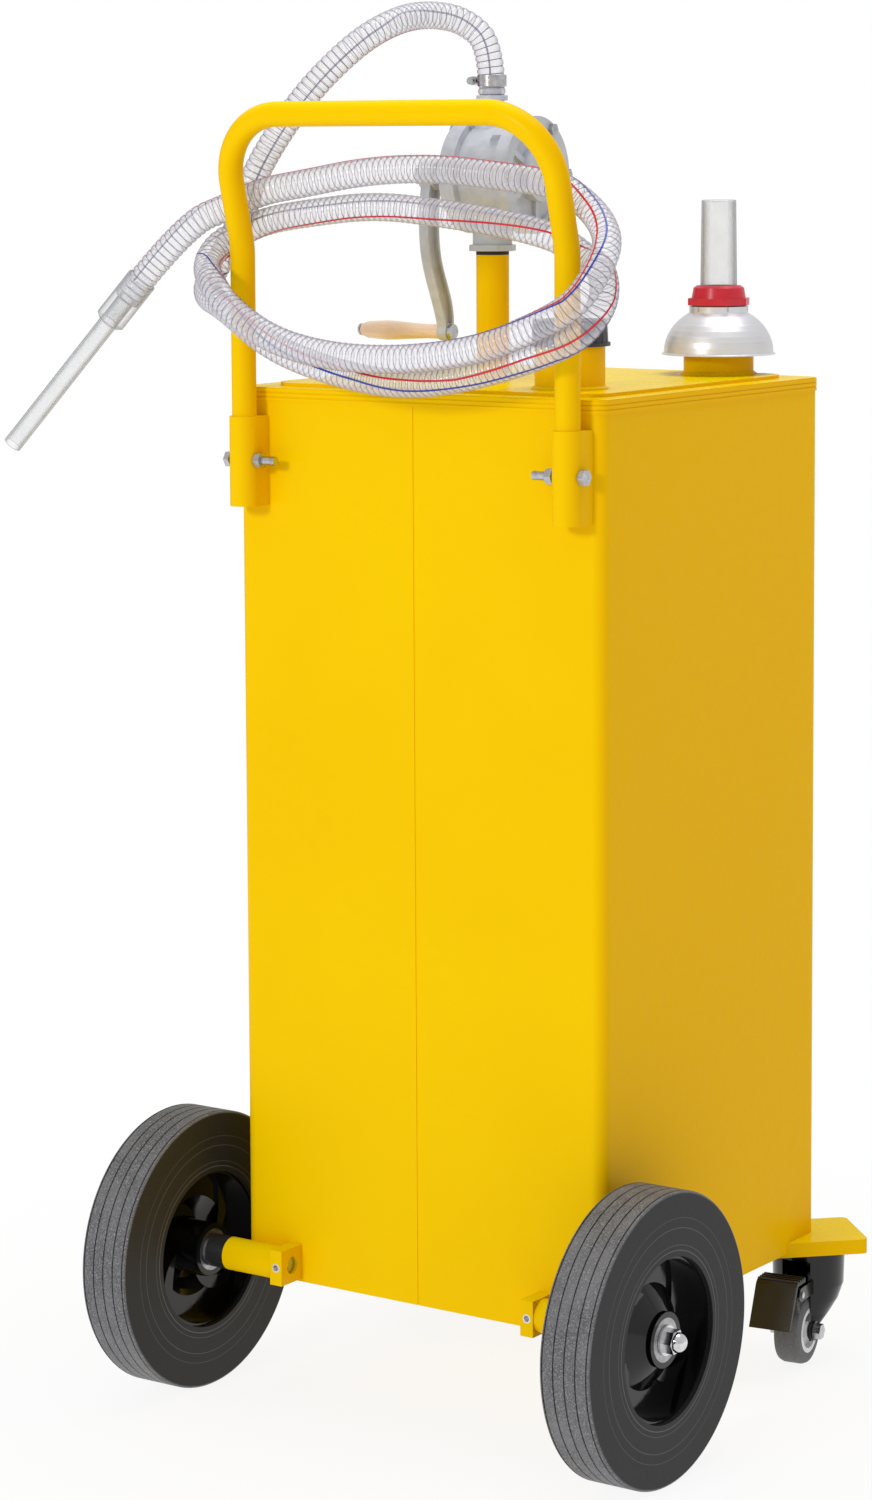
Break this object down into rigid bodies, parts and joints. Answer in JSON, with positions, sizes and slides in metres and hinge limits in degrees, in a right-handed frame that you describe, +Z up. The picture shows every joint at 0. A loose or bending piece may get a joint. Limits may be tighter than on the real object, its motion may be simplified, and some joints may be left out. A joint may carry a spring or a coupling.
{
  "type": "fuel caddy",
  "caption": "Tall square fuel caddy on two solid rear wheels and braked front casters, with hand crank pump, float gauge, leaning push handle and a wound clear hose.",
  "frame": {"origin": "on the ground under the middle of the caddy's length and width, the hose left out", "axes": "+Z up, +Y forward from the push handle towards the casters, +X to the user's right"},
  "size_m": [0.6908, 0.5688, 1.2623],
  "materials": {
    "yellow": "gloss powder coat",
    "black_gloss": "gloss",
    "black_plastic": "satin",
    "red_plastic": "gloss",
    "pale_plastic": "satin",
    "cast_aluminium": "satin cast",
    "spun_aluminium": "satin",
    "zinc": "bright zinc",
    "steel": "machined",
    "chrome": "polished",
    "tyre": "matt",
    "tread": "matt",
    "seal": "matt",
    "wood": "waxed",
    "clear": "clear plastic",
    "clear_hose": "clear plastic, ribbed"
  },
  "bodies": {
    "caddy": {"tank_shell": "yellow", "tank_bottom": "yellow", "tank_lid": "yellow", "fill_neck": "yellow", "gauge_neck": "yellow", "pump_standpipe": "yellow", "tank_gaskets": "seal", "gauge_hood": "spun_aluminium", "gauge_nut": "red_plastic", "gauge_tube": "clear", "gauge_stem": "steel", "handle_tube": "yellow", "handle_sockets": "yellow", "handle_fasteners": "zinc", "axle_holders": "yellow", "axle_stubs": "zinc", "axle_spacers": "black_plastic", "axle_fasteners": "chrome", "caster_brackets": "yellow", "caster_plates": "black_gloss", "caster_bolts": "zinc", "pump_union": "cast_aluminium", "pump_body": "cast_aluminium", "pump_cover_left": "cast_aluminium", "pump_cover_right": "cast_aluminium", "pump_cover_screws": "zinc", "pump_gland_nut": "cast_aluminium", "suction_tube": "steel", "pump_outlet": "cast_aluminium", "hose_clamp": "zinc", "hose_riser": "clear_hose", "hose_coil": "clear_hose", "hose_tail": "clear_hose", "nozzle_cuff": "clear", "nozzle_tube": "clear"},
    "wheel_left": {"tyre_left": "tyre", "rim_left": "black_gloss", "wheel_bearings_left": "steel"},
    "wheel_right": {"tyre_right": "tyre", "rim_right": "black_gloss", "wheel_bearings_right": "steel"},
    "caster_left": {"caster_fork_left": "black_gloss", "caster_axle_left": "zinc"},
    "caster_right": {"caster_fork_right": "black_gloss", "caster_axle_right": "zinc"},
    "caster_wheel_left": {"caster_tyre_left": "tread", "caster_hub_left": "pale_plastic"},
    "caster_wheel_right": {"caster_tyre_right": "tread", "caster_hub_right": "pale_plastic"},
    "pedal_left": {"brake_pedal_left": "black_gloss"},
    "pedal_right": {"brake_pedal_right": "black_gloss"},
    "crank": {"crank_shaft": "steel", "crank_arm": "cast_aluminium", "crank_fasteners": "zinc", "pump_rotor": "steel"},
    "grip": {"crank_grip": "wood"},
    "cap_seal": {"fill_cap_gasket": "seal"},
    "cap": {"fill_cap": "black_plastic"},
    "float": {"float_arm": "steel"},
    "indicator": {"indicator_rod": "red_plastic"}
  },
  "joints": [
    {"name": "wheel_left_roll", "type": "hinge", "parent": "caddy", "child": "wheel_left", "pos_m": [-0.2455, -0.15742, 0.127], "axis": [1, 0, 0], "continuous": true},
    {"name": "wheel_right_roll", "type": "hinge", "parent": "caddy", "child": "wheel_right", "pos_m": [0.2455, -0.15742, 0.127], "axis": [1, 0, 0], "continuous": true},
    {"name": "caster_left_swivel", "type": "hinge", "parent": "caddy", "child": "caster_left", "pos_m": [-0.18805, 0.22663, 0.102], "axis": [0, 0, 1], "continuous": true},
    {"name": "caster_left_roll", "type": "hinge", "parent": "caster_left", "child": "caster_wheel_left", "pos_m": [-0.18415, 0.1989, 0.03175], "axis": [0.9903, 0.1392, 0], "continuous": true},
    {"name": "pedal_left_press", "type": "hinge", "parent": "caster_left", "child": "pedal_left", "pos_m": [-0.17998, 0.16919, 0.074], "axis": [0.9903, 0.1392, 0], "range_deg": [0, 20]},
    {"name": "caster_right_swivel", "type": "hinge", "parent": "caddy", "child": "caster_right", "pos_m": [0.18805, 0.22663, 0.102], "axis": [0, 0, 1], "continuous": true},
    {"name": "caster_right_roll", "type": "hinge", "parent": "caster_right", "child": "caster_wheel_right", "pos_m": [0.19195, 0.1989, 0.03175], "axis": [0.9903, 0.1392, 0], "continuous": true},
    {"name": "pedal_right_press", "type": "hinge", "parent": "caster_right", "child": "pedal_right", "pos_m": [0.19612, 0.16919, 0.074], "axis": [0.9903, 0.1392, 0], "range_deg": [0, 20]},
    {"name": "crank_turn", "type": "hinge", "parent": "caddy", "child": "crank", "pos_m": [-0.046, 0.04958, 1.106], "axis": [1, 0, 0], "continuous": true},
    {"name": "grip_spin", "type": "hinge", "parent": "crank", "child": "grip", "pos_m": [-0.162, 0.06958, 0.961], "axis": [1, 0, 0], "continuous": true},
    {"name": "cap_lift", "type": "slide", "parent": "caddy", "child": "cap_seal", "axis": [0, 0, 1], "range_m": [0, 0.008]},
    {"name": "cap_turn", "type": "hinge", "parent": "cap_seal", "child": "cap", "pos_m": [0.11, -0.06242, 0.968], "axis": [0, 0, 1], "range_deg": [0, 720]},
    {"name": "float_swing", "type": "hinge", "parent": "caddy", "child": "float", "pos_m": [0.114, 0.21858, 0.56], "axis": [-1, 0, 0], "range_deg": [0, 88]},
    {"name": "indicator_rise", "type": "slide", "parent": "caddy", "child": "indicator", "axis": [0, 0, 1], "range_m": [0, 0.07]}
  ],
  "couplings": [
    {"joint": "cap_lift", "follows": "cap_turn", "m_per_rad": 0.00063598},
    {"joint": "indicator_rise", "follows": "float_swing", "m_per_rad": 0.045531}
  ]
}
